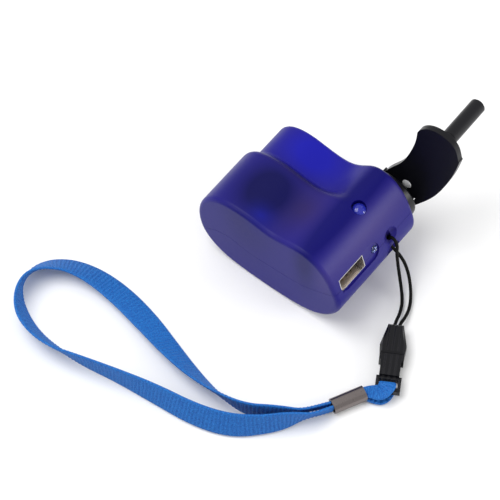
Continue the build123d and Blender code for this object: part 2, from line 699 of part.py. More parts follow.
def corner_radii(points):
    """The largest arc that each corner's two runs allow."""
    radii = []
    for before, corner, after in zip(points, points[1:], points[2:]):
        runs = (corner - before, after - corner)
        half_turn = radians(runs[0].get_angle(runs[1])) / 2
        radii.append(0.45 * min(runs[0].length, runs[1].length) / tan(half_turn))
    return radii


def along_route(points, profile):
    """A profile along straight runs joined by arcs, with the length of that path."""
    path = FilletPolyline(*points, radius=corner_radii(points))
    side = (path % 0).cross(Vector(0, 0, 1))
    return sweep(Plane(origin=path @ 0, x_dir=side, z_dir=path % 0) * profile, path=path), path.length


def lead_wires():
    """Two leads from the generator's tags to the end of the board."""
    tag_x = GENERATOR[0] + TERMINAL_OFFSET + TERMINAL_SIZE[0] / 2 + WIRE_R
    tag_y = CAN_NEAR_Y - BELL_H - TERMINAL_SIZE[1] / 2
    end = port_place(BOARD_START + BOARD_LENGTH + WIRE_R, 0, BOARD_LOW + BOARD_T / 2).position
    wires = []
    for side in (-1, 1):
        tag_z = GENERATOR[1] + side * TERMINAL_SPREAD
        points = [
            Vector(tag_x, tag_y, tag_z),
            Vector(tag_x + WIRE_SAG, tag_y, tag_z + side),
            Vector(0, WIRE_Y + side * WIRE_SPREAD / 2, end.Z - WIRE_SAG),
            Vector(end.X, WIRE_Y + side * WIRE_SPREAD, end.Z),
        ]
        wires.append(along_route(points, Circle(WIRE_R))[0])
    return Compound(children=wires)


# ---- crank ----
def crank_hub():
    disc = rod(CRANK_X, CRANK_Z, HUB_R, HUB_Y, HUB_FACE_Y)
    disc = fillet(disc.edges().filter_by(GeomType.CIRCLE).group_by(Axis.Y)[-1], HUB_ROUND)
    ear_low = KNUCKLE_W / 2 + HINGE_SIDE_GAP
    for side in (-1, 1):
        low, high = sorted((side * ear_low, side * (ear_low + EAR_T)))
        ear = HINGE_FRAME * Pos(0, 0, low) * extrude(Circle(EAR_R), high - low)
        foot = Pos(0, (low + high) / 2, -HINGE_GAP / 2 - HUB_ROUND / 2)
        foot_size = (2 * EAR_R, high - low, HINGE_GAP + HUB_ROUND)
        disc += ear + CRANK_FRAME * foot * Box(*foot_size)
    disc -= HINGE_FRAME * Pos(0, 0, -HUB_R) * extrude(Circle(HINGE_PIN_R + THREAD_CLEARANCE), 2 * HUB_R)
    disc -= flat_shaft(HUB_Y, HUB_SEAT_Y, THREAD_CLEARANCE)
    disc -= rod(CRANK_X, CRANK_Z, HUB_SCREW_R + SCREW_CLEARANCE, HUB_SEAT_Y, HUB_FACE_Y)
    head_r = HUB_SCREW_HEAD_R + SCREW_CLEARANCE
    return disc - rod(CRANK_X, CRANK_Z, head_r, HUB_FACE_Y - HUB_SCREW_HEAD_H, HUB_FACE_Y)


def hub_screw():
    head = rod(CRANK_X, CRANK_Z, HUB_SCREW_HEAD_R, HUB_FACE_Y - HUB_SCREW_HEAD_H, HUB_FACE_Y)
    shank_low = HUB_SEAT_Y - HUB_SCREW_LENGTH + SCREW_CLEARANCE
    return head + rod(CRANK_X, CRANK_Z, HUB_SCREW_R, shank_low, HUB_FACE_Y - HUB_SCREW_HEAD_H)


def hinge_pin():
    half = KNUCKLE_W / 2 + HINGE_SIDE_GAP + EAR_T
    return HINGE_FRAME * Pos(0, 0, -half) * extrude(Circle(HINGE_PIN_R), 2 * half)


def arm_rod(s, t, r, low, high):
    """A cylinder square to the arm, between two heights above the arm's middle plane."""
    return ARM_FRAME * Pos(s, t, low) * extrude(Circle(r), high - low)


def crank_arm():
    """The kidney-shaped plate with the boss that the knob turns against."""
    left = Edge.make_spline([Vector(*point) for point in ARM_OUTLINE_LEFT])
    right = Edge.make_spline([Vector(*point) for point in ARM_OUTLINE_RIGHT])
    end_points = [ARM_OUTLINE_LEFT[-1]] + ARM_OUTLINE_END + [ARM_OUTLINE_RIGHT[0]]
    end = Edge.make_spline([Vector(*point) for point in end_points], tangents=[left % 1, right % 0])
    corners = [Vector(*point) for point in [ARM_OUTLINE_RIGHT[-1]] + ARM_ROOT]
    root = [Edge.make_line(*pair) for pair in zip(corners, corners[1:])]
    plate = extrude(Face(Wire([left, end, right] + root)), ARM_T)
    plate = ARM_FRAME * Pos(0, 0, -ARM_T / 2) * plate
    plate += arm_rod(KNOB_S, KNOB_W, KNOB_BOSS_R, ARM_T / 2, ARM_T / 2 + KNOB_BOSS_H)
    stud_hole_low = STUD_WEB - ARM_T / 2 - THREAD_CLEARANCE
    plate -= arm_rod(KNOB_S, KNOB_W, KNOB_STUD_R + THREAD_CLEARANCE, stud_hole_low, ARM_T + KNOB_BOSS_H)
    return plate - arm_rod(RIVET_S, RIVET_W, RIVET_R + THREAD_CLEARANCE, -ARM_T, ARM_T)


def hinge_leaf():
    """A barrel on the hinge pin and a leaf riveted to the arm's outer side."""
    half = KNUCKLE_W / 2
    barrel = HINGE_FRAME * Pos(0, 0, -half) * extrude(Circle(ARM_T / 2 + LEAF_T), KNUCKLE_W)
    leaf = ARM_FRAME * Pos(LEAF_LENGTH / 2, 0, ARM_T / 2 + LEAF_T / 2) * Box(LEAF_LENGTH, KNUCKLE_W, LEAF_T)
    both = barrel + leaf
    both -= HINGE_FRAME * Pos(0, 0, -half) * extrude(Circle(HINGE_PIN_R + RUN_CLEARANCE), KNUCKLE_W)
    return both - arm_rod(RIVET_S, RIVET_W, RIVET_R + THREAD_CLEARANCE, 0, ARM_T + LEAF_T)


def arm_rivet():
    outer = ARM_T / 2 + LEAF_T
    shank = arm_rod(RIVET_S, RIVET_W, RIVET_R, -ARM_T / 2, outer)
    tail = arm_rod(RIVET_S, RIVET_W, RIVET_HEAD_R, outer, outer + RIVET_HEAD_H)
    dome_r = (RIVET_HEAD_R ** 2 + RIVET_HEAD_H ** 2) / (2 * RIVET_HEAD_H)
    dome = ARM_FRAME * Pos(RIVET_S, RIVET_W, dome_r - ARM_T / 2 - RIVET_HEAD_H) * Sphere(dome_r)
    head = dome & arm_rod(RIVET_S, RIVET_W, RIVET_HEAD_R, -ARM_T / 2 - RIVET_HEAD_H, -ARM_T / 2)
    return shank + tail + head


def knob_stud():
    top = KNOB_BASE + KNOB_LENGTH - KNOB_CAP - FIT_GAP
    stud = arm_rod(KNOB_S, KNOB_W, KNOB_STUD_R, STUD_WEB - ARM_T / 2, top)
    return stud + arm_rod(KNOB_S, KNOB_W, STUD_HEAD_R, top - STUD_HEAD_H, top)


def knob():
    top = KNOB_BASE + KNOB_LENGTH
    grip = arm_rod(KNOB_S, KNOB_W, KNOB_R, KNOB_BASE, top)
    grip = chamfer(grip.edges().filter_by(GeomType.CIRCLE), KNOB_CHAMFER)
    grip -= arm_rod(KNOB_S, KNOB_W, KNOB_STUD_R + RUN_CLEARANCE, KNOB_BASE, top)
    pocket = top - KNOB_CAP - FIT_GAP - STUD_HEAD_H - FIT_GAP
    return grip - arm_rod(KNOB_S, KNOB_W, STUD_HEAD_R + FIT_GAP, pocket, top)


def knob_cap():
    top = KNOB_BASE + KNOB_LENGTH
    return arm_rod(KNOB_S, KNOB_W, STUD_HEAD_R + FIT_GAP - THREAD_CLEARANCE, top - KNOB_CAP, top)


# ---- lanyard cord, buckle, ferrule and strap ----
def lanyard_cord():
    points = [Vector(*point) for point in CORD_ROUTE]
    return cord_tube("lanyard_cord", points, Circle(CORD_D / 2))


def cord_tube(name, points, profile):
    """A flexible piece along its route; its radii and volume are printed to be read."""
    solid, length = along_route(points, profile)
    print(name, "radii", [round(radius, 1) for radius in corner_radii(points)])
    print(name, "length", round(length, 1), "volume share", round(solid.volume / (profile.area * length), 4))
    return solid


def flat_frame(start, end, z):
    """A frame lying on the floor: x from one point to another, z up."""
    along = (end[0] - start[0], end[1] - start[1], 0)
    return Plane(origin=(start[0], start[1], z), x_dir=along, z_dir=(0, 0, 1))


def buckle_head():
    """The tapered half that holds the lanyard cord."""
    half_tip, half = HEAD_TIP_W / 2, HEAD_W / 2
    widest = HEAD_LENGTH * HEAD_WIDEST
    shape = make_face(Polyline(
        (0, -half_tip), (widest, -half), (HEAD_LENGTH, -BODY_W / 2),
        (HEAD_LENGTH, BODY_W / 2), (widest, half), (0, half_tip), close=True,
    ))
    head = Pos(0, 0, -HEAD_H / 2) * extrude(shape, HEAD_H)
    head = chamfer(head.edges().group_by(Axis.Z)[-1] + head.edges().group_by(Axis.Z)[0], HEAD_CHAMFER)
    width, height, depth = CORD_SLOT
    head -= Pos(depth / 2, 0, 0) * Box(depth, width, height)
    cavity = (PLUG_LENGTH + FIT_GAP, PLUG_W + 2 * FIT_GAP, PLUG_H + 2 * FIT_GAP)
    head -= Pos(HEAD_LENGTH - cavity[0] / 2, 0, 0) * Box(*cavity)
    return BUCKLE_FRAME * head


def buckle_body():
    """The waisted half with the bar that the strap goes round."""
    start = HEAD_LENGTH + PLUG_GAP
    body = Pos(start + SHOULDER_LENGTH / 2, 0, 0) * Box(SHOULDER_LENGTH, BODY_W, BODY_H)
    waist_length = BODY_LENGTH - SHOULDER_LENGTH
    body += Pos(start + SHOULDER_LENGTH + waist_length / 2, 0, 0) * Box(waist_length, BODY_WAIST_W, BODY_H)
    body += Pos(start - PLUG_LENGTH / 2, 0, 0) * Box(PLUG_LENGTH, PLUG_W, PLUG_H)
    loop_start = start + BODY_LENGTH
    body += Pos(loop_start + LOOP_LENGTH / 2, 0, 0) * Box(LOOP_LENGTH, LOOP_W, LOOP_H)
    slot_length, slot_width = LOOP_SLOT
    slot_x = loop_start + LOOP_LENGTH - LOOP_BAR - slot_length / 2
    return BUCKLE_FRAME * (body - Pos(slot_x, 0, 0) * Box(slot_length, slot_width, BODY_H))


def ferrule_shape(inset):
    """The ferrule's rounded cross section, moved inwards."""
    return RectangleRounded(FERRULE_W - 2 * inset, FERRULE_H - 2 * inset, FERRULE_ROUND - inset)


def strap_ferrule():
    return FERRULE_FRAME * Plane.YZ * extrude(ferrule_shape(0) - ferrule_shape(FERRULE_T), FERRULE_LENGTH)


def wrist_strap():
    """One ribbon: round the buckle's bar, through the ferrule, and out as the wrist loop."""
    points = [Vector(x, y, STRAP_Z) for x, y in STRAP_ROUTE]
    strap = cord_tube("wrist_strap", points, Rectangle(STRAP_T, STRAP_W))
    tail = extrude(ferrule_shape(FERRULE_T + FIT_GAP), FERRULE_LENGTH + 2 * STRAP_TAIL_OUT)
    strap += FERRULE_FRAME * (Pos(-STRAP_TAIL_OUT, 0, 0) * (Plane.YZ * tail))
    ring_end = BUCKLE_LENGTH + STRAP_RING_OUT
    ring_start = BUCKLE_LENGTH - LOOP_BAR - STRAP_RING_GAP - STRAP_T
    ring_h = LOOP_H + 2 * STRAP_RING_GAP + 2 * STRAP_T
    outside = Box(ring_end - ring_start, STRAP_RING_W, ring_h)
    inside = Box(ring_end - ring_start - 2 * STRAP_T, STRAP_RING_W, ring_h - 2 * STRAP_T)
    strap += BUCKLE_FRAME * Pos((ring_end + ring_start) / 2, 0, 0) * (outside - inside)
    ring_place = BUCKLE_FRAME.from_local_coords((ring_end - STRAP_T / 2, 0, 0))
    tail_end = FERRULE_FRAME.from_local_coords((-STRAP_TAIL_OUT, 0, 0))
    bridge = flat_frame((tail_end.X, tail_end.Y), (ring_place.X, ring_place.Y), FERRULE_Z)
    length = hypot(ring_place.X - tail_end.X, ring_place.Y - tail_end.Y)
    return strap + bridge * Pos(length / 2, 0, 0) * Box(length, STRAP_BRIDGE, STRAP_BRIDGE)


# ---- places worked out from the sizes above ----
CRANK_AXIS = (CRANK_X, CRANK_Z)
STAGE_ONE = next_axis(CRANK_AXIS, STAGE_ONE_BEARING, CRANK_TEETH, STAGE_PINION_TEETH)
STAGE_TWO = next_axis(STAGE_ONE, STAGE_TWO_BEARING, WHEEL_TEETH, STAGE_PINION_TEETH)
GENERATOR = next_axis(STAGE_TWO, GENERATOR_BEARING, WHEEL_TEETH, GEN_PINION_TEETH)
CAN_NEAR_Y = INNER_PLATE_Y - CAN_LENGTH
ROTOR_Y = CAN_NEAR_Y + (CAN_LENGTH - CAN_WALL - ROTOR_LENGTH) / 2
GEN_PINION_WIDTH = STAGE_TWO_Y + FACE_WIDTH + RUN_END - GEN_PINION_Y
GEN_PINION_CLEAR_R = MODULE * GEN_PINION_TEETH / 2 + 2 * ADDENDUM
BOARD_LOW = -SOCKET_H / 2 - BOARD_T
HUB_Y = CASE_FAR_Y + HUB_GAP
HUB_FACE_Y = HUB_Y + HUB_T
HUB_SEAT_Y = HUB_FACE_Y - HUB_SCREW_HEAD_H - HUB_WEB
HINGE_Y = HUB_FACE_Y + HINGE_GAP
KNOB_BASE = ARM_T / 2 + KNOB_BOSS_H + KNOB_GAP
UP = Vector(cos(radians(CRANK_ANGLE)), 0, sin(radians(CRANK_ANGLE)))
ACROSS = Vector(sin(radians(CRANK_ANGLE)), 0, -cos(radians(CRANK_ANGLE)))
OUT = Vector(0, 1, 0)
ARM_UP = UP * cos(radians(ARM_TILT)) + OUT * sin(radians(ARM_TILT))
ARM_OUT = OUT * cos(radians(ARM_TILT)) - UP * sin(radians(ARM_TILT))
HINGE_PLACE = (CRANK_X, HINGE_Y, CRANK_Z)
CRANK_FRAME = Plane(origin=HINGE_PLACE, x_dir=UP, z_dir=OUT)
HINGE_FRAME = Plane(origin=HINGE_PLACE, x_dir=UP, z_dir=ACROSS)
ARM_FRAME = Plane(origin=HINGE_PLACE, x_dir=ARM_UP, z_dir=ARM_OUT)
BUCKLE_LENGTH = HEAD_LENGTH + PLUG_GAP + BODY_LENGTH + LOOP_LENGTH
BUCKLE_FRAME = flat_frame(BUCKLE_TOP, BUCKLE_END, BUCKLE_Z)
FERRULE_LENGTH = hypot(FERRULE_LEFT[0] - FERRULE_RIGHT[0], FERRULE_LEFT[1] - FERRULE_RIGHT[1])
FERRULE_FRAME = flat_frame(FERRULE_RIGHT, FERRULE_LEFT, FERRULE_Z)

PIECES = [
    case_screws, shaft_bush, inner_gear_plate, outer_gear_plate, plate_posts, plate_screws, gear_pins,
    generator_can, generator_end_bell, generator_magnets, generator_terminals, generator_rotor,
    generator_shaft, generator_pinion, stage_one_gear, stage_two_gear, usb_shell, usb_tongue,
    usb_contacts, circuit_board, smoothing_capacitor, regulator_chip, port_lamp, top_lamp, lead_wires,
    crank_shaft, crank_gear, crank_hub, hub_screw, hinge_pin, crank_arm, hinge_leaf, arm_rivet,
    knob_stud, knob, knob_cap, lanyard_cord, buckle_head, buckle_body, strap_ferrule, wrist_strap,
]


def main():
    os.makedirs("parts", exist_ok=True)
    upper, lower = case_shells()
    export_step(upper, "parts/upper_shell.step")
    export_step(lower, "parts/lower_shell.step")
    for piece in PIECES:
        export_step(piece(), f"parts/{piece.__name__}.step")


main()
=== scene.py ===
import json
import math

import bpy
import numpy as np
from mathutils import Matrix, Vector


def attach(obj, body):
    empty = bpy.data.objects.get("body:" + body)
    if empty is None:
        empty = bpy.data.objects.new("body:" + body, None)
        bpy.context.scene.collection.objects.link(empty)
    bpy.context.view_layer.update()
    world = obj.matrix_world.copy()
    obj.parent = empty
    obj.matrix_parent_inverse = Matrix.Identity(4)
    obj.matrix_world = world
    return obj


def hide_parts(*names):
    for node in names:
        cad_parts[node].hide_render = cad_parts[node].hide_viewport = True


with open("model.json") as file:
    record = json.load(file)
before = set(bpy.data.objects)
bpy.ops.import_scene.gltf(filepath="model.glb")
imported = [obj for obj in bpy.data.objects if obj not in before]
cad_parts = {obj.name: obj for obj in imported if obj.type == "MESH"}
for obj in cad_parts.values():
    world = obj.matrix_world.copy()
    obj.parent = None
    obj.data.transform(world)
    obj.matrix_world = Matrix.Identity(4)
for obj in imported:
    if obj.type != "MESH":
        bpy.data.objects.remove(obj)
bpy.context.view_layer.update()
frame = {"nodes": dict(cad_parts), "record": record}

# sizes and places are in metres. Routes and what is given at their points are in mm
MM = 0.001

# ---- camera: three-quarter view from above, on the socket's side ----
CAMERA_AZIMUTH = 38.4
CAMERA_ELEVATION = 59.7
CAMERA_DISTANCE = 0.972
CAMERA_TARGET = (-0.008965, -0.020230, 0.012989)
LENS_MM = 200.0
SENSOR_MM = 36.0
VIEW_END = 10.0

# ---- stage: a white floor and sky, and two square lights that face the case ----
FLOOR_HALF = 3.0
# the floor stays this far under the lowest pieces
FLOOR_DROP = 0.2 * MM
FLOOR_COLOUR = (0.9, 0.9, 0.9)
FLOOR_ROUGHNESS = 0.9
SKY_COLOUR = (1.0, 1.0, 1.0)
SKY_STRENGTH = 0.7
LIGHT_TARGET = (0, 0, 0.02)
KEY_PLACE = (-0.35, -0.25, 0.9)
KEY_SIZE = 0.7
KEY_POWER = 7.0
FILL_PLACE = (0.8, 0.35, 0.3)
FILL_SIZE = 0.4
FILL_POWER = 3.0

# ---- lanyard cord, along the same route as its solid ----
CORD_D = 1.2 * MM
CORD_ROUTE = [
    (46.7, -10.2, 2.75), (45.3, -7.2, 2.75), (44.2, -3.0, 2.0), (42.2, 1.2, 1.4), (39.4, 4.6, 2.0),
    (36.6, 7.0, 5.2), (34.4, 8.4, 10.4), (33.1, 9.0, 16.2), (33.0, 9.2, 21.2), (31.2, 9.3, 24.2),
    (28.8, 9.4, 22.6), (28.6, 9.5, 19.2), (30.6, 9.9, 16.4), (33.6, 10.6, 13.2), (36.0, 11.0, 8.6),
    (39.2, 9.4, 4.2), (42.6, 5.8, 1.6), (45.2, 1.6, 1.2), (46.6, -3.0, 2.0), (46.9, -6.6, 2.75),
    (48.0, -9.5, 2.75),
]
# how finely the cord is drawn round its section, and from one point of its route to the next
CORD_FACETS = 4
CORD_STEPS = 12

# ---- wrist strap: over the table along the same route as its solid, its height given by its lean ----
STRAP_W = 10.0 * MM
STRAP_T = 0.9 * MM
STRAP_ROUTE = [
    (48.57, -47.27), (45.6, -53.6), (40.4, -61.0), (34.2, -68.4), (25.6, -75.2), (13.6, -79.4),
    (-1.8, -81.6), (-17.6, -84.6), (-30.2, -87.6), (-40.2, -89.2), (-49.4, -89.0), (-57.8, -86.4),
    (-64.2, -81.0), (-67.4, -73.8), (-65.6, -66.2), (-59.4, -60.6), (-49.6, -57.8), (-37.4, -57.8),
    (-23.8, -60.2), (-10.4, -64.0), (2.0, -67.0), (14.6, -68.4), (26.4, -67.2), (35.6, -61.6),
    (42.4, -54.2), (46.97, -46.47),
]
# at each point of the strap's route: its lean in degrees (90 stands on edge, 0 lies flat),
# the share of its width that is spread out, and how far it is held above the table in mm
STRAP_LEAN = [
    (92, 0.34, 0.6), (118, 0.75, 0.3), (84, 1, 0), (76, 1, 0), (64, 1, 0), (66, 1, 0),
    (74, 1, 0), (91, 1, 0), (99, 1, 0), (117, 1, 0), (122, 1, 0), (122, 1, 0),
    (101, 1, 0), (70, 1, 0), (47, 1, 0), (38, 1, 0), (28, 1, 0), (19, 1, 0),
    (19, 1, 0), (33, 1, 0), (48, 1, 0), (68, 1, 0), (86, 1, 0), (96, 1, 0),
    (62, 0.75, 0.3), (88, 0.34, 0.6),
]
STRAP_STEPS = 44

# ---- ribs across the webbing, out to this share of half its width ----
RIB_PITCH = 1.4 * MM
RIB_HEIGHT = 0.2 * MM
RIB_REACH = 0.9
# its section: places as shares of half its width, and shares of its full thickness there
BAND_PLACES = np.array([-1.0, -0.96, -0.8, -0.4, 0.0, 0.4, 0.8, 0.96, 1.0])
BAND_FULLNESS = np.array([0.35, 0.85, 1.0, 1.0, 1.0, 1.0, 1.0, 0.85, 0.35])

# ---- the fold of strap from the ferrule round the buckle's bar: places, and the width's direction there ----
FOLD_ROUTE = [
    (52.2, -38.0, 3.3), (53.4, -35.6, 3.3), (55.6, -34.2, 4.0), (58.6, -33.2, 5.0), (58.9, -29.6, 5.3),
    (57.2, -27.6, 3.0), (58.4, -28.8, 0.6), (58.9, -33.0, 0.5), (55.8, -34.6, 1.0), (53.4, -35.8, 1.5),
    (52.2, -38.2, 1.5),
]
FOLD_SIDES = [
    (0.89, -0.45, 0), (0.89, -0.45, 0), (0.75, -0.66, 0), (0.87, 0.2, 0), (0.87, 0.5, 0), (0.87, 0.5, 0),
    (0.87, 0.5, 0), (0.87, 0.2, 0), (0.75, -0.66, 0), (0.89, -0.45, 0), (0.89, -0.45, 0),
]
FOLD_WIDTHS = [3.4, 3.8, 4.8, 5.6, 6.0, 6.0, 6.0, 5.6, 4.8, 3.8, 3.4]
FOLD_T = 0.8 * MM
FOLD_STEPS = 24


# ---- meshes ----
def link(name, mesh):
    piece = bpy.data.objects.new(name, mesh)
    bpy.context.scene.collection.objects.link(piece)
    return piece


def nurbs_curve(name, points):
    """An open smooth curve with these control points, in metres."""
    curve = bpy.data.curves.new(name, "CURVE")
    curve.dimensions = "3D"
    spline = curve.splines.new("NURBS")
    spline.points.add(len(points) - 1)
    for control, point in zip(spline.points, points):
        control.co = (*point, 1.0)
    spline.order_u = 3
    spline.use_endpoint_u = True
    return link(name, curve)


def read_line(points, steps):
    """The points of the smooth curve, as Blender draws it with this many steps to each control point."""
    piece = nurbs_curve("line", points)
    piece.data.resolution_u = steps
    bpy.context.view_layer.update()
    mesh = bpy.data.meshes.new_from_object(piece)
    line = np.array([vertex.co for vertex in mesh.vertices])
    curve = piece.data
    bpy.data.objects.remove(piece)
    bpy.data.curves.remove(curve)
    bpy.data.meshes.remove(mesh)
    return line


def unit(vectors):
    """Each row brought to a length of one."""
    return vectors / np.linalg.norm(vectors, axis=1, keepdims=True)


def tube_faces(count, ring):
    """The faces of a closed tube of this many rings, each of this many points."""
    faces = []
    for first in range(0, (count - 1) * ring, ring):
        for place in range(ring):
            after = (place + 1) % ring
            faces.append((first + place, first + ring + place, first + ring + after, first + after))
    faces.append(tuple(range(ring)))
    faces.append(tuple((count - 1) * ring + place for place in reversed(range(ring))))
    return faces


def ribbon(name, centres, sides, widths, thickness, material):
    """A ribbed band along a line, its width along the sides."""
    along = unit(np.gradient(centres, axis=0))
    sides = unit(sides - along * np.sum(sides * along, axis=1, keepdims=True))
    normals = np.cross(along, sides)
    steps = np.linalg.norm(np.diff(centres, axis=0), axis=1)
    travelled = np.concatenate([[0.0], np.cumsum(steps)])
    rib = RIB_HEIGHT * np.cos(2 * math.pi * travelled / RIB_PITCH)
    threads = []
    for face in (1, -1):
        # up the band's one face and back down its other, so that the threads go round it in turn
        for place, fullness in zip(BAND_PLACES[::face], BAND_FULLNESS[::face]):
            ribbed = rib * (abs(place) < RIB_REACH)
            height = face * (fullness * thickness / 2 + ribbed)
            threads.append(centres + sides * (place * widths / 2)[:, None] + normals * height[:, None])
    rings = np.stack(threads, axis=1)
    mesh = bpy.data.meshes.new(name)
    mesh.from_pydata([tuple(point) for point in rings.reshape(-1, 3)], [], tube_faces(*rings.shape[:2]))
    mesh.shade_smooth()
    mesh.materials.append(material)
    return link(name, mesh)


# ---- what the materials share ----
GRAIN_DETAIL = 3.0
GRAIN_DEPTH = 0.05 * MM


def principled(name, colour, roughness, **settings):
    """A plain material. A setting is named like its input, with _ for each space."""
    material = bpy.data.materials.new(name)
    material.use_nodes = True
    shader = material.node_tree.nodes["Principled BSDF"]
    shader.inputs["Base Color"].default_value = (*colour, 1.0)
    shader.inputs["Roughness"].default_value = roughness
    for setting, value in settings.items():
        shader.inputs[setting.replace("_", " ")].default_value = value
    return material


def add_grain(material, scale, low, high, bump):
    """One noise varies the roughness from low to high and gives a slight relief."""
    tree = material.node_tree
    shader = tree.nodes["Principled BSDF"]
    place = tree.nodes.new("ShaderNodeTexCoord")
    noise = tree.nodes.new("ShaderNodeTexNoise")
    noise.inputs["Scale"].default_value = scale
    noise.inputs["Detail"].default_value = GRAIN_DETAIL
    spread = tree.nodes.new("ShaderNodeMapRange")
    spread.inputs["To Min"].default_value = low
    spread.inputs["To Max"].default_value = high
    relief = tree.nodes.new("ShaderNodeBump")
    relief.inputs["Strength"].default_value = bump
    relief.inputs["Distance"].default_value = GRAIN_DEPTH
    tree.links.new(place.outputs["Object"], noise.inputs["Vector"])
    tree.links.new(noise.outputs["Fac"], spread.inputs["Value"])
    tree.links.new(spread.outputs["Result"], shader.inputs["Roughness"])
    tree.links.new(noise.outputs["Fac"], relief.inputs["Height"])
    tree.links.new(relief.outputs["Normal"], shader.inputs["Normal"])
    return material


# ---- frosted case ----
CASE_COLOUR = (0.016, 0.012, 0.20)
# painted light on the case: bright places are painted sheen and painted reflections, dark places are painted
# shade; middle and reach in mm, colour, and strength before it is cut off at one
CASE_PAINTED_LIGHT = [
    ((3, -7, 37), (22, 22, 30), (0.030, 0.018, 0.13), 1.2),
    ((-10, -9, 36), (22, 26, 40), (0.001, 0.001, 0.070), 2.0),
    ((-6, -18, 36), (10, 8, 14), (0.005, 0.008, 0.24), 0.8),
    ((-9, 16, 33), (26, 19, 30), (0.008, 0.008, 0.36), 1.8),
    ((-6, 4, 36), (24, 5, 14), (0.008, 0.004, 0.07), 1.6),
    ((16, 2, 33), (9, 70, 30), (0.002, 0.001, 0.12), 2.6),
    ((25, 2, 30), (8, 70, 20), (0.062, 0.046, 0.21), 1.0),
]


def patch(tree, centre, radii):
    """One at the centre and falling smoothly to nothing at these distances, in mm."""
    place = tree.nodes.new("ShaderNodeTexCoord")
    shift = tree.nodes.new("ShaderNodeMapping")
    shift.inputs["Location"].default_value = tuple(-middle / reach for middle, reach in zip(centre, radii))
    shift.inputs["Scale"].default_value = tuple(1 / (reach * MM) for reach in radii)
    fall = tree.nodes.new("ShaderNodeTexGradient")
    fall.gradient_type = "QUADRATIC_SPHERE"
    tree.links.new(place.outputs["Object"], shift.inputs["Vector"])
    tree.links.new(shift.outputs["Vector"], fall.inputs["Vector"])
    return fall.outputs["Fac"]


def frosted_case():
    """Frosted blue plastic, with painted sheen, painted reflections and painted shade laid over its blue."""
    material = principled("case_blue", CASE_COLOUR, 0.4, Transmission_Weight=0.1, Specular_IOR_Level=0.12)
    tree = material.node_tree
    shader = tree.nodes["Principled BSDF"]
    colour = None
    # each place of painted sheen, reflection or shade is mixed in turn over the case's blue
    for centre, radii, tone, strength in CASE_PAINTED_LIGHT:
        boost = tree.nodes.new("ShaderNodeMath")
        boost.operation = "MULTIPLY"
        boost.use_clamp = True
        boost.inputs[1].default_value = strength
        blend = tree.nodes.new("ShaderNodeMixRGB")
        blend.inputs["Color2"].default_value = (*tone, 1)
        tree.links.new(patch(tree, centre, radii), boost.inputs[0])
        tree.links.new(boost.outputs["Value"], blend.inputs["Fac"])
        if colour is None:
            blend.inputs["Color1"].default_value = (*CASE_COLOUR, 1)
        else:
            tree.links.new(colour, blend.inputs["Color1"])
        colour = blend.outputs["Color"]
    tree.links.new(colour, shader.inputs["Base Color"])
    return add_grain(material, scale=900.0, low=0.34, high=0.44, bump=0.08)


# ---- buckle: ribs along it, at its own turn from the x axis ----
BUCKLE_TURN = 29.4
BUCKLE_RIB = 2.0 * MM
BUCKLE_RIB_DEPTH = 0.3 * MM
BUCKLE_RIB_STRENGTH = 0.7
# the length in metres after which Blender's wave texture repeats at a scale of 1
WAVE_LENGTH = 2 * math.pi / 20


def ribbed_black():
    """Black plastic with shallow ribs along the buckle."""
    material = principled("buckle_black", (0.003, 0.003, 0.005), 0.25, Specular_IOR_Level=0.3)
    tree = material.node_tree
    place = tree.nodes.new("ShaderNodeTexCoord")
    turn = tree.nodes.new("ShaderNodeMapping")
    turn.inputs["Rotation"].default_value = (0, 0, -math.radians(BUCKLE_TURN))
    ribs = tree.nodes.new("ShaderNodeTexWave")
    ribs.inputs["Scale"].default_value = WAVE_LENGTH / BUCKLE_RIB
    relief = tree.nodes.new("ShaderNodeBump")
    relief.inputs["Strength"].default_value = BUCKLE_RIB_STRENGTH
    relief.inputs["Distance"].default_value = BUCKLE_RIB_DEPTH
    tree.links.new(place.outputs["Object"], turn.inputs["Vector"])
    tree.links.new(turn.outputs["Vector"], ribs.inputs["Vector"])
    tree.links.new(ribs.outputs["Fac"], relief.inputs["Height"])
    tree.links.new(relief.outputs["Normal"], tree.nodes["Principled BSDF"].inputs["Normal"])
    return material


# ---- webbing: threads a little darker or lighter than its colour ----
WEB_COLOUR = (0.005, 0.11, 0.56)
WEB_THREAD_SCALE = 2600.0
WEB_THREAD_DETAIL = 2.0
WEB_TONES = [(0.3, (0.004, 0.060, 0.30)), (0.7, (0.018, 0.190, 0.56))]


def webbing():
    """Blue woven tape, its threads varying a little in tone."""
    material = principled("strap_blue", WEB_COLOUR, 0.6, Specular_IOR_Level=0.25)
    tree = material.node_tree
    shader = tree.nodes["Principled BSDF"]
    place = tree.nodes.new("ShaderNodeTexCoord")
    noise = tree.nodes.new("ShaderNodeTexNoise")
    noise.inputs["Scale"].default_value = WEB_THREAD_SCALE
    noise.inputs["Detail"].default_value = WEB_THREAD_DETAIL
    ramp = tree.nodes.new("ShaderNodeValToRGB")
    for stop, (position, tone) in zip(ramp.color_ramp.elements, WEB_TONES):
        stop.position = position
        stop.color = (*tone, 1)
    tree.links.new(place.outputs["Object"], noise.inputs["Vector"])
    tree.links.new(noise.outputs["Fac"], ramp.inputs["Fac"])
    tree.links.new(ramp.outputs["Color"], shader.inputs["Base Color"])
    return material


# ---- all materials ----
MATERIALS = {
    "case_blue": frosted_case(),
    "buckle_black": ribbed_black(),
    "strap_blue": webbing(),
}


def add_material(name, colour, roughness, scale, low, high, bump, **settings):
    """A plain material with a grain over it. Its own roughness is for readers that leave the grain out."""
    MATERIALS[name] = add_grain(principled(name, colour, roughness, **settings), scale, low, high, bump)


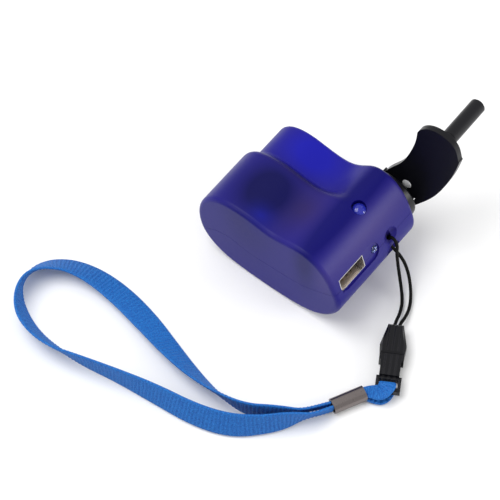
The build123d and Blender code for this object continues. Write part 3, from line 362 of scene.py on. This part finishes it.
# name, colour, roughness, then the grain: its scale, lowest and highest roughness, and relief
# plastics
add_material("black_plastic", (0.003, 0.003, 0.005), 0.3, 1200.0, 0.26, 0.36, 0.05, Specular_IOR_Level=0.3)
add_material("charcoal_plastic", (0.007, 0.007, 0.009), 0.3, 900.0, 0.26, 0.36, 0.05, Specular_IOR_Level=0.25)
add_material("inner_plastic", (0.02, 0.02, 0.03), 0.5, 700.0, 0.45, 0.6, 0.1)
add_material("gear_plastic", (0.6, 0.6, 0.58), 0.4, 700.0, 0.35, 0.45, 0.1)
add_material("tongue", (0.85, 0.70, 0.55), 0.5, 900.0, 0.45, 0.55, 0.05)
add_material("clear_lamp", (0.35, 0.45, 1.0), 0.05, 300.0, 0.03, 0.08, 0.02, Transmission_Weight=0.9)
add_material("blue_lens", (0.03, 0.04, 0.55), 0.1, 300.0, 0.06, 0.12, 0.02, Transmission_Weight=0.5)

# metals
add_material("steel", (0.30, 0.28, 0.28), 0.3, 1500.0, 0.25, 0.38, 0.1, Metallic=1.0)
add_material("bright_steel", (0.82, 0.82, 0.84), 0.2, 1500.0, 0.16, 0.28, 0.05, Metallic=0.5)
add_material("socket_steel", (0.58, 0.57, 0.58), 0.25, 1500.0, 0.2, 0.3, 0.05, Metallic=0.9)
add_material("ferrule_steel", (0.20, 0.175, 0.17), 0.3, 1500.0, 0.24, 0.34, 0.1, Metallic=1.0)
add_material("brass", (0.75, 0.55, 0.25), 0.3, 1200.0, 0.25, 0.35, 0.05, Metallic=1.0)

# generator and board
add_material("magnet", (0.03, 0.03, 0.03), 0.6, 900.0, 0.5, 0.7, 0.1)
add_material("core", (0.08, 0.08, 0.09), 0.45, 900.0, 0.4, 0.5, 0.1)
add_material("board", (0.01, 0.08, 0.03), 0.4, 900.0, 0.35, 0.45, 0.05)
add_material("capacitor", (0.5, 0.5, 0.52), 0.3, 900.0, 0.25, 0.35, 0.05, Metallic=1.0)
add_material("wire", (0.3, 0.01, 0.01), 0.45, 900.0, 0.4, 0.5, 0.05)

# cord
add_material("cord_black", (0.001, 0.001, 0.001), 0.8, 4000.0, 0.6, 0.8, 0.4, Specular_IOR_Level=0.15)


# ---- CAD nodes ----
# nodes that look different from the rest of their slot
OWN_LOOKS = {"strap_ferrule": "ferrule_steel", "top_lamp": "blue_lens", "buckle_head": "buckle_black",
             "buckle_body": "buckle_black", "usb_shell": "socket_steel"}


def dress_nodes():
    """Each CAD node takes the material of its slot in the record, or a closer look of its own."""
    slots = {entry["node"]: entry["material_slot"] for entry in frame["record"]["subparts"]}
    for name, node in frame["nodes"].items():
        node.data.materials.clear()
        node.data.materials.append(MATERIALS[OWN_LOOKS.get(name, slots[name])])


# ---- soft pieces ----
def metres(points):
    return [tuple(value * MM for value in point) for point in points]


def lanyard_cord():
    """The thin cord from the buckle through the case's bar and back."""
    cord = nurbs_curve("lanyard_loop", metres(CORD_ROUTE))
    cord.data.bevel_depth = CORD_D / 2
    cord.data.bevel_resolution = CORD_FACETS
    cord.data.resolution_u = CORD_STEPS
    cord.data.use_fill_caps = True
    cord.data.materials.append(MATERIALS["cord_black"])
    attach(cord, "case")
    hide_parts("lanyard_cord")


def wrist_strap():
    """The ribbed band from the ferrule round and back to it, leaning as in STRAP_LEAN."""
    line = read_line(metres([(x, y, 0) for x, y in STRAP_ROUTE]), STRAP_STEPS)
    lean, spread, raised = read_line(STRAP_LEAN, STRAP_STEPS).T
    lean = np.radians(lean)
    widths = STRAP_W * spread
    along = unit(np.gradient(line, axis=0))
    level = np.stack([along[:, 1], -along[:, 0], np.zeros(len(line))], axis=1)
    sides = level * np.cos(lean)[:, None] + np.array([0, 0, 1]) * np.sin(lean)[:, None]
    line[:, 2] = widths / 2 * np.abs(np.sin(lean)) + STRAP_T / 2 + raised * MM
    strap = ribbon("wrist_strap_band", line, sides, widths, STRAP_T, MATERIALS["strap_blue"])
    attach(strap, "case")
    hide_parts("wrist_strap")
    fold = strap_fold()


def strap_fold():
    """The pinched end of the webbing from the ferrule round the buckle's bar and back."""
    line = read_line(metres(FOLD_ROUTE), FOLD_STEPS)
    sides = read_line(FOLD_SIDES, FOLD_STEPS)
    widths = read_line([(width, 0, 0) for width in FOLD_WIDTHS], FOLD_STEPS)[:, 0] * MM
    fold = ribbon("strap_fold", line, sides, widths, FOLD_T, MATERIALS["strap_blue"])
    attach(fold, "case")
    return fold


# ---- stage ----
def area_light(name, place, size, power):
    """A square light that faces the case."""
    light = bpy.data.lights.new(name, "AREA")
    light.shape = "SQUARE"
    light.size = size
    light.energy = power
    lamp = link(name, light)
    lamp.location = place
    lamp.rotation_euler = (Vector(LIGHT_TARGET) - Vector(place)).to_track_quat("-Z", "Y").to_euler()


def floor():
    mesh = bpy.data.meshes.new("floor")
    corners = [(-FLOOR_HALF, -FLOOR_HALF, 0), (FLOOR_HALF, -FLOOR_HALF, 0), (FLOOR_HALF, FLOOR_HALF, 0),
               (-FLOOR_HALF, FLOOR_HALF, 0)]
    mesh.from_pydata(corners, [], [(0, 1, 2, 3)])
    mesh.materials.append(principled("floor", FLOOR_COLOUR, FLOOR_ROUGHNESS))
    ground = link("floor", mesh)
    ground.location = (0, 0, -FLOOR_DROP)


def sky():
    world = bpy.data.worlds.new("sky")
    world.use_nodes = True
    background = world.node_tree.nodes["Background"]
    background.inputs["Color"].default_value = (*SKY_COLOUR, 1.0)
    background.inputs["Strength"].default_value = SKY_STRENGTH
    bpy.context.scene.world = world


def camera():
    """Looks at the target from this far to the right of the front and this far up, in degrees."""
    azimuth, elevation = math.radians(CAMERA_AZIMUTH), math.radians(CAMERA_ELEVATION)
    back = Vector((math.sin(azimuth) * math.cos(elevation), -math.cos(azimuth) * math.cos(elevation),
                   math.sin(elevation)))
    right = Vector((math.cos(azimuth), math.sin(azimuth), 0))
    up = back.cross(right)
    eye = bpy.data.cameras.new("camera")
    eye.lens = LENS_MM
    eye.sensor_width = SENSOR_MM
    eye.clip_end = VIEW_END
    viewer = link("camera", eye)
    turn = Matrix((right, up, back)).transposed().to_4x4()
    viewer.matrix_world = Matrix.Translation(Vector(CAMERA_TARGET) + CAMERA_DISTANCE * back) @ turn
    bpy.context.scene.camera = viewer


dress_nodes()
lanyard_cord()
wrist_strap()
floor()
area_light("key", KEY_PLACE, KEY_SIZE, KEY_POWER)
area_light("fill", FILL_PLACE, FILL_SIZE, FILL_POWER)
sky()
camera()
bpy.context.scene.view_settings.view_transform = "Standard"
bpy.context.view_layer.update()
